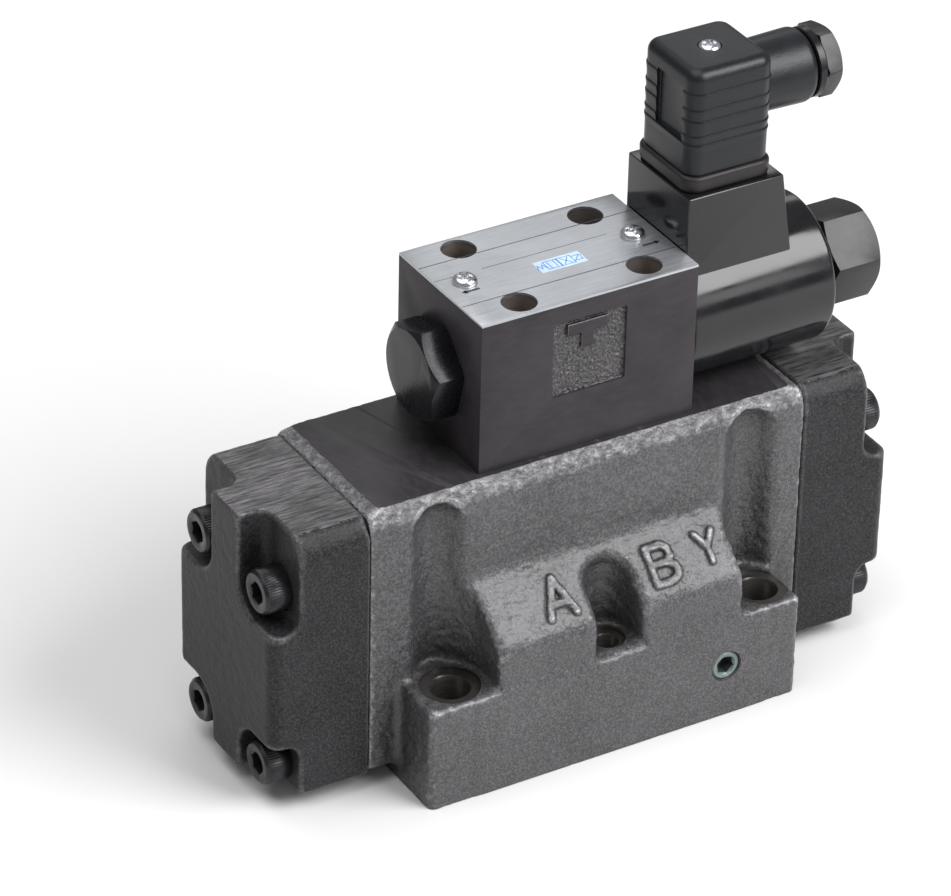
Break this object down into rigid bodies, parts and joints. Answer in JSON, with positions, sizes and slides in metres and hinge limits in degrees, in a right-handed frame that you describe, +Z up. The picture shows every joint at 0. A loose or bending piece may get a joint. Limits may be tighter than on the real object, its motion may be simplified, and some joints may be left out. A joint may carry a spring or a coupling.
{
  "type": "solenoid directional valve",
  "caption": "Pilot-operated hydraulic directional valve: cast main valve with end covers, a small solenoid pilot valve on top, and a square cable plug on the coil.",
  "frame": {"origin": "centre of the four M10 mounting holes, on the mounting face", "axes": "+X along the main spool towards the solenoid, -Y towards the front with the raised A, B and Y, +Z up out of the mounting face"},
  "size_m": [0.2055, 0.091, 0.192],
  "materials": {
    "body_casting": "phosphated grey cast iron, fine sand texture",
    "cover_casting": "dark phosphated cast iron",
    "ground_iron": "ground and phosphated iron",
    "black_oxide": "black oxide steel",
    "seal_rubber": "nitrile rubber",
    "ground_steel": "hardened and ground steel",
    "spring_steel": "drawn spring steel",
    "tube_steel": "turned steel",
    "zinc_steel": "bright zinc plate",
    "plate_aluminium": "brushed, with printed thin lines",
    "coil_plastic": "glossy moulded black resin",
    "bobbin_plastic": "natural nylon",
    "copper_wire": "enamelled copper wire",
    "contact_brass": "tinned brass",
    "gasket_rubber": "brown-black nitrile rubber",
    "plug_plastic": "fine-textured black polyamide",
    "insert_plastic": "dark grey polyamide"
  },
  "bodies": {
    "valve_body": {"main_body": "body_casting", "left_end_cover": "cover_casting", "right_end_cover": "cover_casting", "left_cover_screws": "black_oxide", "right_cover_screws": "black_oxide", "left_cover_seal": "seal_rubber", "right_cover_seal": "seal_rubber", "main_spring": "spring_steel", "port_seals": "seal_rubber", "control_port_seals": "seal_rubber", "front_screw_plug": "zinc_steel", "pilot_body": "ground_iron", "pilot_bolts": "black_oxide", "pilot_port_seals": "seal_rubber", "nameplate": "plate_aluminium", "nameplate_screws": "zinc_steel", "pilot_end_plug": "black_oxide", "end_plug_seal": "seal_rubber", "pilot_spring": "spring_steel", "pole_piece": "ground_steel", "core_tube": "tube_steel", "core_tube_seal": "seal_rubber", "coil_nut": "coil_plastic"},
    "coil": {"coil_housing": "coil_plastic", "coil_bobbin": "bobbin_plastic", "coil_winding": "copper_wire", "coil_seals": "seal_rubber", "contact_blades": "contact_brass", "plug_gasket": "gasket_rubber", "plug_insert": "insert_plastic", "plug_housing": "plug_plastic", "plug_screw": "zinc_steel", "gland_grommet": "seal_rubber", "gland_washer": "zinc_steel", "gland_nut": "plug_plastic"},
    "main_spool": {"main_spool": "ground_steel", "main_spring_seat": "ground_steel"},
    "pilot_spool": {"pilot_spool": "ground_steel", "pilot_spring_seat": "ground_steel"},
    "push_pin": {"push_pin": "ground_steel"},
    "armature": {"armature": "ground_steel"},
    "override_pin": {"override_pin": "ground_steel"}
  },
  "joints": [
    {"name": "main_spool_slide", "type": "slide", "parent": "valve_body", "child": "main_spool", "axis": [-1, 0, 0], "range_m": [0, 0.014], "stiffness_N_per_m": 8000, "springref_m": -0.0125, "deforming": ["main_spring"]},
    {"name": "armature_slide", "type": "slide", "parent": "valve_body", "child": "armature", "axis": [-1, 0, 0], "range_m": [0, 0.003], "stiffness_N_per_m": 5000, "springref_m": -0.004},
    {"name": "push_pin_slide", "type": "slide", "parent": "valve_body", "child": "push_pin", "axis": [-1, 0, 0], "range_m": [0, 0.003]},
    {"name": "pilot_spool_slide", "type": "slide", "parent": "valve_body", "child": "pilot_spool", "axis": [-1, 0, 0], "range_m": [0, 0.003], "deforming": ["pilot_spring"]},
    {"name": "override_press", "type": "slide", "parent": "valve_body", "child": "override_pin", "axis": [-1, 0, 0], "range_m": [0, 0.003]},
    {"name": "coil_swivel", "type": "hinge", "parent": "valve_body", "child": "coil", "pos_m": [0.05, 0, 0.1132], "axis": [1, 0, 0], "range_deg": [-90, 90]}
  ],
  "couplings": [
    {"joint": "push_pin_slide", "follows": "armature_slide", "ratio": 1},
    {"joint": "pilot_spool_slide", "follows": "armature_slide", "ratio": 1},
    {"joint": "override_press", "follows": "armature_slide", "ratio": 1}
  ]
}
